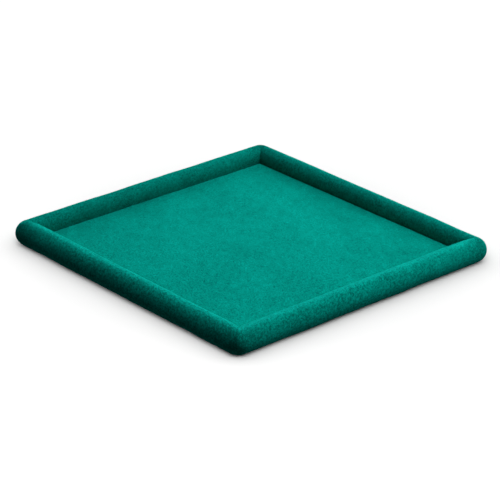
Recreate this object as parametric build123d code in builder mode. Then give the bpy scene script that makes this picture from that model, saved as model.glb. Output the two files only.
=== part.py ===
"""Square dice tray: a flat velvet floor inside a round padded rim.

A thin board carries the tray. Each side of the rim is a foam rod with a slot along its inner
side, and the slot grips the board's edge. A strip of velvet goes round each rod, and both of
its edges are tucked into the slot, one above the board and one below it. The rods and strips
are mitred where they meet. A foam sheet and a velvet panel lie on the board inside the rim,
and a lining covers the board from below.

Millimetres, +Z up. The origin is on the table, under the centre of the tray.
"""

import os

from build123d import *

# Driving dimensions
overall = 300.0  # outer width and depth
rim_diameter = 22.4  # over the velvet
velvet_thickness = 1.2
corner_path_radius = 1.5  # of the rim's centre line where it turns a corner
foot_depth = 0.17  # how far the rim is pressed flat where it stands on the table

floor_height = 11.2  # from the table to the top of the floor velvet
pad_thickness = 1.0
board_thickness = 2.5
lining_thickness = 1.0
floor_gap = 0.1  # between the floor's edges and the widest part of the rim

slot_end = 1.0  # the slot stops this far short of the rod's centre
board_end = 2.0  # and the board's edge this far
tuck_end = 2.5  # and the velvet's tucked edges this far
board_corner_radius = 4.0

# Derived sizes
rim_radius = rim_diameter / 2
core_radius = rim_radius - velvet_thickness
rim_height = rim_radius - foot_depth  # of the rod's centre above the table
rim_offset = overall / 2 - rim_radius  # from the tray's centre to a rod's centre line
corner_axis = rim_offset - corner_path_radius  # both coordinates of the axis each corner turns on

board_top = floor_height - velvet_thickness - pad_thickness
board_bottom = board_top - board_thickness
slot_top = board_top + velvet_thickness
slot_bottom = board_bottom - velvet_thickness
slot_middle = (slot_top + slot_bottom) / 2
floor_width = overall - 2 * (rim_diameter + floor_gap)
board_width = 2 * (rim_offset - board_end)

sides = {"front": 0, "right": 90, "back": 180, "left": 270}

os.makedirs("parts", exist_ok=True)


def write(part, name):
    """Labels a finished piece and writes it under its node's name."""
    part.label = name
    export_step(part, f"parts/{name}.step")


def section_plane(x):
    """A plane across the front side at x: its local X points out of the tray, its Y up."""
    return Plane(origin=(x, -rim_offset, 0), x_dir=(0, -1, 0), z_dir=(-1, 0, 0))


def core_section():
    """The foam rod's section, with the slot for the board's edge."""
    with BuildSketch() as section:
        with Locations((0, rim_height)):
            Circle(core_radius)
        with Locations((-slot_end, slot_middle)):
            Rectangle(
                core_radius,
                slot_top - slot_bottom,
                align=(Align.MAX, Align.CENTER),
                mode=Mode.SUBTRACT,
            )
    return section.sketch


def wrap_section():
    """The velvet strip's section: a ring round the rod with both edges tucked into the slot."""
    with BuildSketch() as tucks:
        for low_edge in (board_top, slot_bottom):
            with Locations((-tuck_end, low_edge)):
                Rectangle(rim_radius, velvet_thickness, align=(Align.MAX, Align.MIN))
        with Locations((0, rim_height)):
            Circle(rim_radius, mode=Mode.INTERSECT)
    with BuildSketch() as section:
        with Locations((0, rim_height)):
            Circle(rim_radius)
            Circle(core_radius, mode=Mode.SUBTRACT)
        with Locations((0, slot_middle)):
            Rectangle(
                rim_diameter,
                slot_top - slot_bottom,
                align=(Align.MAX, Align.CENTER),
                mode=Mode.SUBTRACT,
            )
        Rectangle(
            rim_diameter, rim_radius, align=(Align.CENTER, Align.MAX), mode=Mode.SUBTRACT
        )
        add(tucks.sketch)
    return section.sketch


def outer_part(section):
    """The part of a section beyond the corner's axis, which is what turns about it."""
    with BuildSketch() as beyond:
        add(section)
        with Locations((-corner_path_radius, 0)):
            Rectangle(
                overall, overall, align=(Align.MIN, Align.CENTER), mode=Mode.INTERSECT
            )
    return beyond.sketch


def front_length(section):
    """One mitred side of the rim, along the front: a straight run and half of each corner."""
    with BuildPart() as length:
        with BuildSketch(section_plane(0)):
            add(section)
        extrude(amount=corner_axis, both=True)
        with BuildSketch():
            Polygon(
                (0, 0), (-overall, -overall), (overall, -overall), align=None
            )
        extrude(amount=overall, mode=Mode.INTERSECT)
        with BuildSketch(section_plane(-corner_axis)):
            add(outer_part(section))
        revolve(
            axis=Axis((-corner_axis, -corner_axis, 0), (0, 0, -1)), revolution_arc=45
        )
        with BuildSketch(section_plane(corner_axis)):
            add(outer_part(section))
        revolve(axis=Axis((corner_axis, -corner_axis, 0), (0, 0, 1)), revolution_arc=45)
    return length.part


def make_rim(section, name):
    """The four sides of one layer of the rim, each written as its own piece."""
    front = front_length(section)
    for side, angle in sides.items():
        with BuildPart() as piece:
            add(front, rotation=(0, 0, angle))
        write(piece.part, f"{name}_{side}")


def make_sheet(name, width, bottom, thickness, corner_radius=0.0):
    """A flat square sheet lying in the tray."""
    with BuildPart() as sheet:
        with BuildSketch(Plane.XY.offset(bottom)):
            Rectangle(width, width)
        extrude(amount=thickness)
        if corner_radius:
            fillet(sheet.edges().filter_by(Axis.Z), radius=corner_radius)
    write(sheet.part, name)


make_rim(core_section(), "rim_core")
make_rim(wrap_section(), "rim_velvet")
make_sheet("base_board", board_width, board_bottom, board_thickness, board_corner_radius)
make_sheet("floor_pad", floor_width, board_top, pad_thickness)
make_sheet("floor_velvet", floor_width, board_top + pad_thickness, velvet_thickness)
make_sheet("underside_lining", floor_width, board_bottom - lining_thickness, lining_thickness)
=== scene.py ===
"""The square velvet dice tray, as it looks: pile fabric, foam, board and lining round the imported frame.

Metres, +Z up, in the frame's own coordinates. The rim's four sides are alike, so each layer of the
rim is worked out once along the front, where u points out of the tray from the rod's centre and w
points up, and turned by quarter turns for the other sides.
"""

import math

import bpy
import numpy as np
from mathutils import Matrix, Vector


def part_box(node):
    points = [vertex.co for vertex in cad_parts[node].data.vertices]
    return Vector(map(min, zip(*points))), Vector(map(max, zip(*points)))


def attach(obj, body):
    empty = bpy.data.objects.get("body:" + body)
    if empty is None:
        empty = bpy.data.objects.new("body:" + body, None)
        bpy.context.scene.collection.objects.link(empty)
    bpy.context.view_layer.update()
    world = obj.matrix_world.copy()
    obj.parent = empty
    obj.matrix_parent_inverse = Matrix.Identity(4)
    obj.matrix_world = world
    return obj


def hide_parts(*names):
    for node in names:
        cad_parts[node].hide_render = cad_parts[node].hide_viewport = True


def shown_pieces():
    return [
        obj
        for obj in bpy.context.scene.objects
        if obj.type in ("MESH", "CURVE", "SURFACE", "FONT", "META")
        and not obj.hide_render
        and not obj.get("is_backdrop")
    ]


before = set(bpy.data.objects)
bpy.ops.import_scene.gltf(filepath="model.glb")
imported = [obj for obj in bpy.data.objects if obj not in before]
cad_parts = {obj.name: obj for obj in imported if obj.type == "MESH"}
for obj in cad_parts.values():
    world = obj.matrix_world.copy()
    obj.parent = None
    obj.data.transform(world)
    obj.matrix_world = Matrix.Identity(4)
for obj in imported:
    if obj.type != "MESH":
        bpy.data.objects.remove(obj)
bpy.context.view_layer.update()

MM = 0.001
BODY = "root"
SIDES = ("front", "right", "back", "left")

# Sizes read from the frame
rim_low, rim_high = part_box("rim_velvet_front")
core_low, core_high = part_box("rim_core_front")
board_low, board_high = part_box("base_board")
RIM_RADIUS = (rim_high.y - rim_low.y) / 2
CORE_RADIUS = (core_high.y - core_low.y) / 2
VELVET_THICKNESS = RIM_RADIUS - CORE_RADIUS
RIM_OFFSET = -(rim_low.y + rim_high.y) / 2
RIM_HEIGHT = rim_high.z - RIM_RADIUS

# Sizes that the frame's boxes don't give
CORNER_PATH_RADIUS = 1.5 * MM
TUCK_END = 2.5 * MM
SLOT_END = 1.0 * MM
CORNER_AXIS = RIM_OFFSET - CORNER_PATH_RADIUS
BEND_START = RIM_OFFSET - RIM_RADIUS - 2 * MM  # the rim's columns are straight up to here
ROD_CLEARANCE = 0.05 * MM  # between a foam rod and its velvet

# The pile on each side of the rim lies over at its own angle, in degrees, up the outside and down
# the inside, so it catches the light as a surface turned by that much would. The angles are chosen
# for how bright each side looks, not from anything known about the pile.
NAP_LEAN = {"front": 18.0, "right": 18.0, "back": 24.0, "left": 3.0}


# Smooth random relief ---------------------------------------------------------------------------


def ripple(points, wavelength, seed, waves=28):
    """A smooth random field over points, with unit variance and bumps about a wavelength apart."""
    draw = np.random.default_rng(seed)
    directions = draw.normal(size=(waves, 3))
    directions /= np.linalg.norm(directions, axis=1)[:, None]
    lengths = wavelength * draw.uniform(0.7, 1.4, waves)
    phases = draw.uniform(0, 2 * math.pi, waves)
    field = np.sin(points @ (directions * (2 * math.pi / lengths)[:, None]).T + phases)
    return field.sum(axis=1) * math.sqrt(2 / waves)


def smooth_step(low, high, value):
    t = np.clip((value - low) / (high - low), 0, 1)
    return t * t * (3 - 2 * t)


# The rim's sections and their sweep -------------------------------------------------------------


def arc_points(radius, start, end, count):
    """Points on a circle about the rod's centre. Angles in degrees from outwards, towards up."""
    angles = np.radians(np.linspace(start, end, count))
    return np.column_stack([radius * np.cos(angles), radius * np.sin(angles)])


def angle_at(radius, w):
    """The angle, in degrees, between the horizontal and the point of the circle at height w."""
    return math.degrees(math.asin(w / radius))


def velvet_section(outer_count=96, inner_count=24):
    """The velvet strip's closed section, and how many of its points are the outer skin."""
    board_top = board_high.z - RIM_HEIGHT
    board_bottom = board_low.z - RIM_HEIGHT
    outer = arc_points(
        RIM_RADIUS,
        180 - angle_at(RIM_RADIUS, board_top),
        -180 - angle_at(RIM_RADIUS, board_bottom),
        outer_count,
    )
    inner_top = board_top + VELVET_THICKNESS
    inner_bottom = board_bottom - VELVET_THICKNESS
    inner = arc_points(
        CORE_RADIUS,
        -180 - angle_at(CORE_RADIUS, inner_bottom),
        180 - angle_at(CORE_RADIUS, inner_top),
        inner_count,
    )
    points = np.vstack(
        [
            outer,
            [(-TUCK_END, board_bottom), (-TUCK_END, inner_bottom)],
            inner,
            [(-TUCK_END, inner_top), (-TUCK_END, board_top)],
        ]
    )
    return points, outer_count


def foam_section(count=64):
    """The foam rod's closed section, with its slot."""
    slot_top = board_high.z - RIM_HEIGHT + VELVET_THICKNESS
    slot_bottom = board_low.z - RIM_HEIGHT - VELVET_THICKNESS
    rod = arc_points(
        CORE_RADIUS - ROD_CLEARANCE,
        180 - angle_at(CORE_RADIUS, slot_top),
        -180 - angle_at(CORE_RADIUS, slot_bottom),
        count,
    )
    return np.vstack([rod, [(-SLOT_END, slot_bottom), (-SLOT_END, slot_top)]])


def columns(spacing, end_count):
    """Places along one side: -1..1 is the straight stretch, and beyond it the two mitred ends."""
    half = round(BEND_START / spacing)
    straight = np.arange(-half, half + 1) / half
    end = 1 + np.arange(1, end_count + 1) / end_count
    return np.concatenate([-end[::-1], straight, end])


def place(column, u, w):
    """Where the points of the section (u, w) lie along the front side, at each column."""
    reach = np.abs(column)
    sign = np.sign(column)
    turn_radius = np.maximum(u + CORNER_PATH_RADIUS, 1e-9)
    before_turn = np.minimum(RIM_OFFSET + u, CORNER_AXIS) - BEND_START
    turning = u > -CORNER_PATH_RADIUS
    whole = before_turn + np.where(turning, turn_radius * math.pi / 4, 0)
    along = np.clip(reach - 1, 0, 1) * whole
    turned = np.where(turning, np.clip(along - before_turn, 0, None) / turn_radius, 0)
    straight = np.where(reach <= 1, reach * BEND_START, BEND_START + np.minimum(along, before_turn))
    x = straight + np.where(turned > 0, turn_radius * np.sin(turned), 0)
    y = np.where(turned > 0, CORNER_AXIS + turn_radius * np.cos(turned), RIM_OFFSET + u)
    return np.column_stack([sign * x, -y, RIM_HEIGHT + w])


def quarter_turn(points, quarters):
    angle = quarters * math.pi / 2
    c, s = round(math.cos(angle)), round(math.sin(angle))
    return points @ np.array([[c, s, 0], [-s, c, 0], [0, 0, 1]], float)


def velvet_relief(points, u, w):
    """How far the velvet stands out from its plain round section: uneven padding, lumps of pile
    that lie differently, and the pinch at the inner mitre."""
    uneven = 0.10 * ripple(points, 52 * MM, seed=11) + 0.03 * ripple(points, 17 * MM, seed=12)
    pile = 0.012 * ripple(points, 5.5 * MM, seed=13) + 0.025 * ripple(points, 2.2 * MM, seed=14)
    to_mitre = np.abs(np.abs(points[:, 0]) - np.abs(points[:, 1])) / math.sqrt(2)
    pinch = 0.55 * np.exp(-((to_mitre / (2.2 * MM)) ** 2)) * smooth_step(2 * MM, -7 * MM, u)
    above_table = smooth_step(-RIM_HEIGHT, -RIM_HEIGHT + 2.5 * MM, w)
    return (uneven + pile - pinch) * above_table * MM


def sweep(section, column_places, side, relief_count=0):
    """Vertices of a closed section swept along one side. The first relief_count points of the
    section get the velvet's relief."""
    rows, cols = len(section), len(column_places)
    u = np.tile(section[:, 0], cols)
    w = np.tile(section[:, 1], cols)
    column = np.repeat(column_places, rows)
    w = np.maximum(w, -RIM_HEIGHT)
    if relief_count:
        plain = quarter_turn(place(column, u, w), side)
        skin = np.tile(np.arange(rows) < relief_count, cols)
        out = np.where(skin, velvet_relief(plain, u, w), 0)
        size = np.hypot(u, w)
        u = u * (1 + out / size)
        w = np.maximum(w * (1 + out / size), -RIM_HEIGHT)
    return quarter_turn(place(column, u, w), side), u


def tube_faces(rows, cols):
    """Quads between neighbouring columns, and the two end faces."""
    row, col = np.meshgrid(np.arange(rows), np.arange(cols - 1))
    after = (row + 1) % rows
    quads = np.stack(
        [col * rows + row, col * rows + after, (col + 1) * rows + after, (col + 1) * rows + row],
        axis=-1,
    ).reshape(-1, 4)
    return quads, [list(range(rows))[::-1], [(cols - 1) * rows + r for r in range(rows)]]


def vertex_normals(points, quads):
    corner = points[quads]
    across = np.cross(corner[:, 2] - corner[:, 0], corner[:, 3] - corner[:, 1])
    total = np.zeros_like(points)
    for k in range(4):
        np.add.at(total, quads[:, k], across)
    return total


def unit(vectors):
    return vectors / np.maximum(np.linalg.norm(vectors, axis=1), 1e-12)[:, None]


def lean_of_nap(points, rows, cols, skin_count, side):
    """At each point, how far the pile's lie turns the normal: along the girth, towards the inside."""
    grid = points.reshape(cols, rows, 3)
    girth = np.zeros_like(grid)
    girth[:, 1 : skin_count - 1] = grid[:, : skin_count - 2] - grid[:, 2:skin_count]
    return unit(girth.reshape(-1, 3)) * math.tan(math.radians(NAP_LEAN[side]))


def new_piece(name, points, quads, caps, material, normals=None):
    """An object from points and faces, with its own vertex normals where they are given."""
    mesh = bpy.data.meshes.new(name)
    mesh.from_pydata(points.tolist(), [], quads.tolist() + caps)
    mesh.materials.append(material)
    mesh.polygons.foreach_set("use_smooth", [True] * len(quads) + [False] * len(caps))
    mesh.validate()
    if normals is not None:
        loops = normals[np.concatenate([quads.ravel()] + [np.array(c) for c in caps])]
        at = len(quads) * 4
        for cap in caps:
            flat = np.cross(points[cap[1]] - points[cap[0]], points[cap[2]] - points[cap[0]])
            loops[at : at + len(cap)] = unit(flat[None])[0]
            at += len(cap)
        mesh.normals_split_custom_set(loops.tolist())
    mesh.update()
    piece = bpy.data.objects.new(name, mesh)
    bpy.context.scene.collection.objects.link(piece)
    return piece


def rim_velvet(material):
    """The four velvet strips of the rim. They share their normals where they meet outside, so the
    corner is smooth there, and keep their own at the inner crease."""
    section, skin_count = velvet_section()
    places = columns(0.8 * MM, 26)
    rows, cols = len(section), len(places)
    quads, caps = tube_faces(rows, cols)
    made = [sweep(section, places, k, skin_count) for k in range(4)]
    normals = [
        unit(vertex_normals(points, quads)) + lean_of_nap(points, rows, cols, skin_count, side)
        for side, (points, u) in zip(SIDES, made)
    ]
    last = np.arange((cols - 1) * rows, cols * rows)
    first = np.arange(rows)
    for k in range(4):
        after = (k + 1) % 4
        outside = made[k][1][last] > -CORNER_PATH_RADIUS - 0.5 * MM
        shared = normals[k][last[outside]] + normals[after][first[outside]]
        normals[k][last[outside]] = shared
        normals[after][first[outside]] = shared
    for k, side in enumerate(SIDES):
        strip = new_piece(
            f"velvet_cover_{side}", made[k][0], quads, caps, material, unit(normals[k])
        )
        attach(strip, BODY)
        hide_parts(f"rim_velvet_{side}")


def rim_foam(material):
    """The four slotted foam rods."""
    section = foam_section()
    places = columns(6 * MM, 5)
    quads, caps = tube_faces(len(section), len(places))
    for k, side in enumerate(SIDES):
        points, u = sweep(section, places, k)
        rod = new_piece(f"foam_rod_{side}", points, quads, caps, material)
        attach(rod, BODY)
        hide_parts(f"rim_core_{side}")


# Flat sheets ------------------------------------------------------------------------------------


def flat_sheet(name, node, spacing, relief, material, shown=1, hidden_share=0.0):
    """A closed square sheet in a node's place. relief(points, to_edge) raises the face that
    shows: the top one for shown=1 and the bottom one for shown=-1. The hidden face moves by
    hidden_share of that."""
    low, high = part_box(node)
    count = round((high.x - low.x) / spacing) + 1
    line = np.linspace(low.x, high.x, count)
    # extra columns close to the edge, where the sheet turns down
    edge = np.array([0.0, 0.25, 0.6, 1.1, 1.8, 2.6]) * MM
    inner = line[np.abs(line) < high.x - edge[-1] - spacing / 3]
    line = np.concatenate([low.x + edge, inner, high.x - edge[::-1]])
    count = len(line)
    x, y = (g.ravel() for g in np.meshgrid(line, line))
    to_edge = np.minimum(high.x - np.abs(x), high.y - np.abs(y))
    flat = np.column_stack([x, y, np.zeros(len(x))])
    raised = shown * relief(flat, to_edge)
    raised_above, raised_below = raised, raised * hidden_share
    if shown < 0:
        raised_above, raised_below = raised_below, raised_above
    above = np.column_stack([x, y, high.z + raised_above])
    below = np.column_stack([x, y, low.z + raised_below])
    index = np.arange(count * count).reshape(count, count)
    top = np.stack(
        [index[:-1, :-1], index[:-1, 1:], index[1:, 1:], index[1:, :-1]], axis=-1
    ).reshape(-1, 4)
    ring = np.concatenate([index[0, :-1], index[:-1, -1], index[-1, :0:-1], index[:0:-1, 0]])
    after = np.roll(ring, -1)
    total = len(above)
    sides = np.stack([ring, ring + total, after + total, after], axis=-1)
    quads = np.vstack([top, top[:, ::-1] + total, sides])
    piece = new_piece(name, np.vstack([above, below]), quads, [], material)
    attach(piece, BODY)
    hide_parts(node)
    return piece, (high.x - low.x, high.y - low.y)


def rolled_edge(to_edge, depth, width):
    """How far a sheet has turned down at its edge, where the rim's rods press it."""
    return depth * (1 - smooth_step(0, width, to_edge)) ** 1.5


def floor_relief(points, to_edge):
    """The floor velvet: nearly flat, with soft unevenness, pile lumps and an edge rolled down."""
    uneven = 0.05 * ripple(points, 60 * MM, seed=21) + 0.03 * ripple(points, 20 * MM, seed=22)
    pile = 0.01 * ripple(points, 6 * MM, seed=23) + 0.02 * ripple(points, 3 * MM, seed=24)
    return (uneven + pile - 0.12) * MM - rolled_edge(to_edge, 1.0 * MM, 3.0 * MM)


def lining_relief(points, to_edge):
    """The underside lining: flat felt with a softened edge."""
    uneven = 0.06 * ripple(points, 45 * MM, seed=31) + 0.03 * ripple(points, 8 * MM, seed=32)
    return (uneven - 0.1) * MM - rolled_edge(to_edge, 0.3 * MM, 1.5 * MM)


def pad_relief(points, to_edge):
    """The foam underlay, pressed thinner along its edge."""
    return (0.03 * ripple(points, 30 * MM, seed=41) - 0.3) * MM - rolled_edge(to_edge, 0.5 * MM, 3.0 * MM)


# Materials --------------------------------------------------------------------------------------


class Shader:
    """A small helper for building one material's nodes."""

    def __init__(self, name, **principled):
        self.material = bpy.data.materials.new(name)
        self.material.use_nodes = True
        self.tree = self.material.node_tree
        self.tree.nodes.clear()
        self.out = self.tree.nodes.new("ShaderNodeOutputMaterial")
        self.bsdf = self.tree.nodes.new("ShaderNodeBsdfPrincipled")
        self.tree.links.new(self.bsdf.outputs[0], self.out.inputs["Surface"])
        for socket, value in principled.items():
            self.bsdf.inputs[socket.replace("_", " ")].default_value = value
        self.where = self.tree.nodes.new("ShaderNodeTexCoord").outputs["Object"]

    def link(self, source, target):
        self.tree.links.new(source, target)

    def stretched(self, times, turn):
        """Coordinates that draw a pattern out by so many times along X turned about Z by turn."""
        node = self.tree.nodes.new("ShaderNodeMapping")
        node.vector_type = "TEXTURE"
        node.inputs["Scale"].default_value = (times, 1, 1)
        node.inputs["Rotation"].default_value = (0, 0, math.radians(turn))
        self.link(self.where, node.inputs["Vector"])
        return node.outputs["Vector"]

    def noise(self, size, detail=2.0, roughness=0.5, vector=None, distortion=0.0):
        """Noise with features about size metres across, from 0 to 1."""
        node = self.tree.nodes.new("ShaderNodeTexNoise")
        node.inputs["Scale"].default_value = 1 / size
        node.inputs["Detail"].default_value = detail
        node.inputs["Roughness"].default_value = roughness
        node.inputs["Distortion"].default_value = distortion
        self.link(vector or self.where, node.inputs["Vector"])
        return node.outputs["Fac"]

    def ramp(self, value, stops):
        """A colour or grey ramp: stops are (position, (r, g, b))."""
        node = self.tree.nodes.new("ShaderNodeValToRGB")
        elements = node.color_ramp.elements
        while len(elements) < len(stops):
            elements.new(0.5)
        for element, (position, colour) in zip(elements, stops):
            element.position = position
            element.color = (*colour, 1)
        self.link(value, node.inputs["Fac"])
        return node.outputs["Color"]

    def math(self, operation, a, b=0.0):
        node = self.tree.nodes.new("ShaderNodeMath")
        node.operation = operation
        for socket, value in zip(node.inputs, (a, b)):
            if isinstance(value, (int, float)):
                socket.default_value = value
            else:
                self.link(value, socket)
        return node.outputs["Value"]

    def weighted(self, *terms):
        """A sum of (value, weight) terms, with each value taken about its middle, 0.5."""
        total = None
        for value, weight in terms:
            term = self.math("MULTIPLY", self.math("SUBTRACT", value, 0.5), weight)
            total = term if total is None else self.math("ADD", total, term)
        return total

    def bump(self, height, distance, strength=1.0, normal=None):
        node = self.tree.nodes.new("ShaderNodeBump")
        node.inputs["Strength"].default_value = strength
        node.inputs["Distance"].default_value = distance
        self.link(height, node.inputs["Height"])
        if normal is not None:
            self.link(normal, node.inputs["Normal"])
        return node.outputs["Normal"]

    def colour(self, source):
        self.link(source, self.bsdf.inputs["Base Color"])

    def normal(self, source):
        self.link(source, self.bsdf.inputs["Normal"])


VELVET_DARK = (0.0002, 0.122, 0.095)
VELVET_LIGHT = (0.0008, 0.328, 0.263)
# Painted shade: the velvet's colour is darkened towards the tray's four corners, standing in for shade
# there.
PAINTED_SHADE_AT_CORNERS = 0.4  # how much painted shade darkens the velvet at the tray's corners, where 1 is dark from light
PAINTED_SHADE_START = 258 * MM  # from the middle, along X and Y added together
PAINTED_SHADE_WIDTH = 32 * MM


def velvet_material(name, dark, light, tuft_contrast, patch_contrast):
    """Short-pile velvet. Tufts lie different ways, so it is mottled at four scales: single tufts,
    clumps, small ruffled patches where the tufts differ more, and broad strokes. It is
    most ruffled towards the front left corner. Its colour is also darkened towards the tray's four
    corners, which is painted shade."""
    shader = Shader(
        name,
        Roughness=0.9,
        Specular_IOR_Level=0.0,
        Sheen_Weight=0.4,
        Sheen_Roughness=0.35,
        Sheen_Tint=(0.02, 0.95, 0.85, 1),
    )
    brushed = shader.stretched(1.6, 45)
    tufts = shader.noise(1.6 * MM, detail=3.0, roughness=0.75, vector=brushed, distortion=0.6)
    clumps = shader.noise(6 * MM, detail=2.5, roughness=0.6, vector=brushed, distortion=0.6)
    patches = shader.noise(22 * MM, detail=4.0, roughness=0.65, distortion=0.6)
    strokes = shader.noise(
        60 * MM, detail=3.0, roughness=0.55, vector=shader.stretched(2.0, 60), distortion=0.8
    )
    split = shader.tree.nodes.new("ShaderNodeSeparateXYZ")
    shader.link(shader.where, split.inputs[0])
    across = shader.math("ADD", split.outputs["X"], split.outputs["Y"])
    handled = shader.math("MAXIMUM", shader.math("MULTIPLY", across, -1.4), 0.0)
    ruffled = shader.ramp(shader.math("ADD", patches, handled), [(0.46, (0, 0, 0)), (0.66, (1, 1, 1))])
    # Painted shade: a mask from 0 to 1 that grows towards the tray's four corners, where the colour is
    # darkened.
    from_middle_x = shader.math("ABSOLUTE", split.outputs["X"])
    from_middle_y = shader.math("ABSOLUTE", split.outputs["Y"])
    to_corner = shader.math("ADD", from_middle_x, from_middle_y)
    past_start = shader.math("SUBTRACT", to_corner, PAINTED_SHADE_START)
    corner = shader.math("DIVIDE", past_start, PAINTED_SHADE_WIDTH)
    painted_shade_mask = shader.ramp(corner, [(0.0, (0, 0, 0)), (1.0, (1, 1, 1))])
    contrast = shader.math("MULTIPLY", shader.math("ADD", ruffled, 1.2), tuft_contrast)
    speckle = shader.math("MULTIPLY", shader.math("SUBTRACT", tufts, 0.5), contrast)
    broad = shader.weighted((clumps, 0.45), (strokes, 0.45), (patches, 0.3), (ruffled, -0.06))
    broad = shader.math("MULTIPLY", broad, patch_contrast)
    painted_shade_at_corners = shader.math("MULTIPLY", painted_shade_mask, -PAINTED_SHADE_AT_CORNERS)
    mottle = shader.math("ADD", speckle, broad)
    # The ramp position carries the random mottle and the painted shade at the corners.
    tone_and_painted_shade = shader.math("ADD", mottle, shader.math("ADD", painted_shade_at_corners, 0.5))
    shader.colour(shader.ramp(tone_and_painted_shade, [(0.0, dark), (1.0, light)]))
    soft = shader.bump(clumps, 0.5 * MM, strength=0.3)
    shader.normal(shader.bump(tufts, 0.6 * MM, strength=0.6, normal=soft))
    return shader.material


def foam_material(name, dark, light, cell):
    """Closed-cell foam: fine round cells that show as pits."""
    shader = Shader(name, Roughness=0.7, Specular_IOR_Level=0.25)
    voronoi = shader.tree.nodes.new("ShaderNodeTexVoronoi")
    voronoi.inputs["Scale"].default_value = 1 / cell
    shader.link(shader.where, voronoi.inputs["Vector"])
    pits = voronoi.outputs["Distance"]
    blotches = shader.noise(12 * MM, detail=2.0)
    tone = shader.math("ADD", shader.math("MULTIPLY", pits, 0.6), shader.math("MULTIPLY", blotches, 0.4))
    shader.colour(shader.ramp(tone, [(0.1, dark), (0.8, light)]))
    shader.normal(shader.bump(pits, 0.15 * MM, strength=0.5))
    return shader.material


def board_material(name):
    """Brown hardboard: pressed wood fibres in a dense, slightly mottled sheet."""
    shader = Shader(name, Roughness=0.62, Specular_IOR_Level=0.35)
    fibres = shader.noise(
        0.9 * MM, detail=5.0, roughness=0.7, vector=shader.stretched(6, 35), distortion=1.2
    )
    cross_fibres = shader.noise(
        1.1 * MM, detail=4.0, roughness=0.7, vector=shader.stretched(5, -50), distortion=1.0
    )
    blotches = shader.noise(18 * MM, detail=3.0)
    tone = shader.math(
        "ADD", shader.weighted((fibres, 0.8), (cross_fibres, 0.6), (blotches, 0.5)), 0.5
    )
    shader.colour(shader.ramp(tone, [(0.1, (0.11, 0.055, 0.025)), (0.9, (0.30, 0.17, 0.085))]))
    shader.normal(shader.bump(fibres, 0.08 * MM, strength=0.5))
    return shader.material


def lining_material(name):
    """Needle felt: matted fibres lying every way, with pale and dark flecks."""
    shader = Shader(
        name, Roughness=0.95, Specular_IOR_Level=0.05, Sheen_Weight=0.1, Sheen_Roughness=0.5
    )
    one_way = shader.noise(
        0.7 * MM, detail=4.0, roughness=0.7, vector=shader.stretched(4, 15), distortion=2.0
    )
    other_way = shader.noise(
        0.7 * MM, detail=4.0, roughness=0.7, vector=shader.stretched(4, -60), distortion=2.0
    )
    clumps = shader.noise(7 * MM, detail=2.0)
    tone = shader.math(
        "ADD", shader.weighted((one_way, 0.8), (other_way, 0.8), (clumps, 0.4)), 0.5
    )
    shader.colour(shader.ramp(tone, [(0.1, (0.001, 0.045, 0.036)), (0.9, (0.004, 0.13, 0.105))]))
    shader.normal(shader.bump(shader.math("ADD", one_way, other_way), 0.25 * MM, strength=0.5))
    return shader.material


# Stage, lights and camera -----------------------------------------------------------------------

CAMERA_AZIMUTH = -42.64
CAMERA_ELEVATION = 24.58
CAMERA_ROLL = 1.18
CAMERA_DISTANCE = 7.018 * 2 * (RIM_OFFSET + RIM_RADIUS)
CAMERA_LENS = 171.86
CAMERA_TARGET = (5.84 * MM, 6.46 * MM, -1.55 * MM)


def direction(azimuth, elevation):
    """The unit vector towards a place at this azimuth, 0 in front and 90 on the right."""
    a, e = math.radians(azimuth), math.radians(elevation)
    return Vector((math.sin(a) * math.cos(e), -math.cos(a) * math.cos(e), math.sin(e)))


def make_camera():
    back = direction(CAMERA_AZIMUTH, CAMERA_ELEVATION)
    right = (-back).cross(Vector((0, 0, 1))).normalized()
    up = right.cross(-back)
    roll = math.radians(CAMERA_ROLL)
    rolled_right = right * math.cos(roll) + up * math.sin(roll)
    rolled_up = up * math.cos(roll) - right * math.sin(roll)
    data = bpy.data.cameras.new("camera")
    data.lens = CAMERA_LENS
    data.clip_end = 100
    camera = bpy.data.objects.new("camera", data)
    bpy.context.scene.collection.objects.link(camera)
    turned = Matrix((rolled_right, rolled_up, back)).transposed().to_4x4()
    camera.matrix_world = Matrix.Translation(Vector(CAMERA_TARGET) + back * CAMERA_DISTANCE) @ turned
    bpy.context.scene.camera = camera


BACK, RIGHT, FRONT = 135, 90, 45  # azimuths of the tray's lights, in degrees
PANEL_SIZE = 1.0
PANEL_DISTANCE = 2.2
PANELS = (
    # name, azimuth, elevation, watts
    ("back_low", BACK, 10, 54),
    ("back_middle", BACK, 30, 11.5),
    ("back_high", BACK, 55, 6),
    ("right_low", RIGHT, 10, 3),
    ("right_middle", RIGHT, 30, 10),
    ("right_high", RIGHT, 60, 7),
    ("front_low", FRONT, 10, 5),
)
FLOOR_SHOWN = 0.40  # the studio floor's grey to the camera, by the tray
FLOOR_PAINTED_LIGHT_AWAY = 0.47  # and away from it, raised there as painted light
FLOOR_THROWN = 0.045  # and its grey as the tray sees it


def add_light(name, azimuth, elevation, size, power, distance, receivers):
    """A soft light that faces the tray and lights only the receivers."""
    data = bpy.data.lights.new(name, "AREA")
    data.shape = "DISK"
    data.size = size
    data.energy = power
    light = bpy.data.objects.new(name, data)
    towards = direction(azimuth, elevation)
    light.location = towards * distance
    light.rotation_mode = "QUATERNION"
    light.rotation_quaternion = towards.to_track_quat("Z", "Y")
    light.visible_camera = False
    bpy.context.scene.collection.objects.link(light)
    light.light_linking.receiver_collection = receivers


def collection_of(name, objects):
    made = bpy.data.collections.new(name)
    for item in objects:
        made.objects.link(item)
    return made


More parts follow.
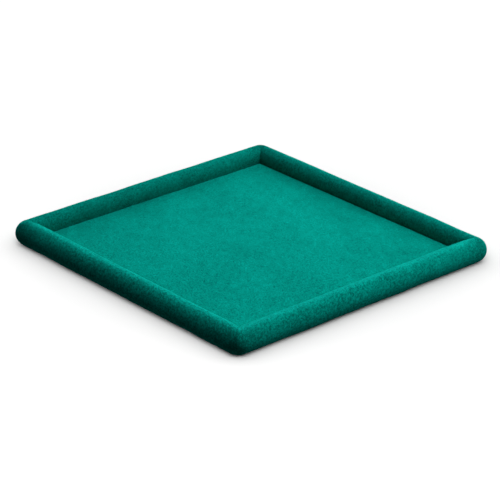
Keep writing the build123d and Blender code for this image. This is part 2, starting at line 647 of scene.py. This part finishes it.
def make_lights(tray, stage):
    """Soft lights on the tray: strong ones behind its far corner, weaker ones on its right and
    front, and one overhead. The floor has its own: two very wide ceilings, which leave only a
    narrow shadow round the tray, and a smaller light on the camera's side."""
    for name, azimuth, elevation, power in PANELS:
        add_light(name, azimuth, elevation, PANEL_SIZE, power, PANEL_DISTANCE, tray)
    add_light("front_near", FRONT, 45, 0.3, 1.5, 0.7, tray)
    add_light("overhead", 0, 89, 1.2, 13.5, PANEL_DISTANCE, tray)
    add_light("floor_wide", 0, 90, 14.9, 1085, 2.0, stage)
    add_light("floor_middle", 0, 90, 6.9, 143, 2.0, stage)
    add_light("floor_front", -43, 51, 1.8, 54, 2.5, stage)


def make_world(seen, past_floor):
    """White to the eye. To the tray, dark above and past the floor's edge as bright as the floor."""
    world = bpy.data.worlds.new("studio")
    bpy.context.scene.world = world
    world.use_nodes = True
    tree = world.node_tree
    tree.nodes.clear()
    out = tree.nodes.new("ShaderNodeOutputWorld")
    to_eye = tree.nodes.new("ShaderNodeBackground")
    to_tray = tree.nodes.new("ShaderNodeBackground")
    choose = tree.nodes.new("ShaderNodeMixShader")
    path = tree.nodes.new("ShaderNodeLightPath")
    coordinates = tree.nodes.new("ShaderNodeTexCoord")
    split = tree.nodes.new("ShaderNodeSeparateXYZ")
    ramp = tree.nodes.new("ShaderNodeValToRGB")
    ramp.color_ramp.elements[0].position = 0.0
    ramp.color_ramp.elements[0].color = (1, 1, 1, 1)
    ramp.color_ramp.elements[1].position = 0.02
    ramp.color_ramp.elements[1].color = (0, 0, 0, 1)
    to_eye.inputs["Color"].default_value = (1, 1, 1, 1)
    to_eye.inputs["Strength"].default_value = seen
    to_tray.inputs["Strength"].default_value = past_floor
    tree.links.new(coordinates.outputs["Generated"], split.inputs[0])
    tree.links.new(split.outputs["Z"], ramp.inputs["Fac"])
    tree.links.new(ramp.outputs["Color"], to_tray.inputs["Color"])
    tree.links.new(path.outputs["Is Camera Ray"], choose.inputs["Fac"])
    tree.links.new(to_tray.outputs[0], choose.inputs[1])
    tree.links.new(to_eye.outputs[0], choose.inputs[2])
    tree.links.new(choose.outputs[0], out.inputs["Surface"])


def make_stage(radius=3.0, corners=96):
    """A plain floor that takes the tray's soft shadow, has painted light that makes it a little whiter
    away from the tray, and throws less light back than it shows to the eye."""
    mesh = bpy.data.meshes.new("studio_floor")
    around = [2 * math.pi * k / corners for k in range(corners)]
    rim = [(radius * math.cos(a), radius * math.sin(a), 0) for a in around]
    mesh.from_pydata(rim, [], [tuple(range(corners))])
    material = bpy.data.materials.new("studio_floor")
    material.use_nodes = True
    tree = material.node_tree
    tree.nodes.clear()
    out = tree.nodes.new("ShaderNodeOutputMaterial")
    to_eye = tree.nodes.new("ShaderNodeBsdfDiffuse")
    to_tray = tree.nodes.new("ShaderNodeBsdfDiffuse")
    choose = tree.nodes.new("ShaderNodeMixShader")
    path = tree.nodes.new("ShaderNodeLightPath")
    where = tree.nodes.new("ShaderNodeTexCoord")
    away = tree.nodes.new("ShaderNodeVectorMath")
    away.operation = "LENGTH"
    # Painted light: the floor's grey rises between 0.18 m and 0.36 m from the middle, standing in for
    # light its lamps lose far from the tray.
    painted_light_ramp = tree.nodes.new("ShaderNodeValToRGB")
    painted_light_ramp.color_ramp.elements[0].position = 0.18
    painted_light_ramp.color_ramp.elements[0].color = (FLOOR_SHOWN, FLOOR_SHOWN, FLOOR_SHOWN, 1)
    painted_light_ramp.color_ramp.elements[1].position = 0.36
    painted_light_grey = (FLOOR_PAINTED_LIGHT_AWAY, FLOOR_PAINTED_LIGHT_AWAY, FLOOR_PAINTED_LIGHT_AWAY, 1)
    painted_light_ramp.color_ramp.elements[1].color = painted_light_grey
    tree.links.new(where.outputs["Object"], away.inputs[0])
    tree.links.new(away.outputs["Value"], painted_light_ramp.inputs["Fac"])
    tree.links.new(painted_light_ramp.outputs["Color"], to_eye.inputs["Color"])
    to_tray.inputs["Color"].default_value = (FLOOR_THROWN, FLOOR_THROWN, FLOOR_THROWN, 1)
    tree.links.new(path.outputs["Is Camera Ray"], choose.inputs["Fac"])
    tree.links.new(to_tray.outputs[0], choose.inputs[1])
    tree.links.new(to_eye.outputs[0], choose.inputs[2])
    tree.links.new(choose.outputs[0], out.inputs["Surface"])
    mesh.materials.append(material)
    floor = bpy.data.objects.new("studio_floor", mesh)
    bpy.context.scene.collection.objects.link(floor)
    floor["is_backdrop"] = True
    return floor


# The tray ---------------------------------------------------------------------------------------

rim_velvet(velvet_material("rim_velvet", VELVET_DARK, VELVET_LIGHT, 1.9, 1.1))
rim_foam(foam_material("grey_foam", (0.16, 0.165, 0.17), (0.38, 0.39, 0.40), 0.9 * MM))

floor_material = velvet_material("floor_velvet", VELVET_DARK, VELVET_LIGHT, 1.15, 1.6)
floor_panel, floor_size = flat_sheet(
    "velvet_floor", "floor_velvet", 1.5 * MM, floor_relief, floor_material, hidden_share=0.55
)

underlay_foam = foam_material("pale_foam", (0.45, 0.45, 0.42), (0.80, 0.80, 0.77), 0.5 * MM)
underlay, underlay_size = flat_sheet("foam_underlay", "floor_pad", 8 * MM, pad_relief, underlay_foam)

lining, lining_size = flat_sheet(
    "felt_lining", "underside_lining", 3 * MM, lining_relief, lining_material("felt"), shown=-1
)

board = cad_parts["base_board"]
board.data.materials.clear()
board.data.materials.append(board_material("hardboard"))

make_camera()
studio_floor = make_stage()
make_lights(collection_of("lit_tray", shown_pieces()), collection_of("lit_floor", [studio_floor]))
make_world(seen=1.0, past_floor=0.12)
bpy.context.scene.view_settings.view_transform = "Standard"
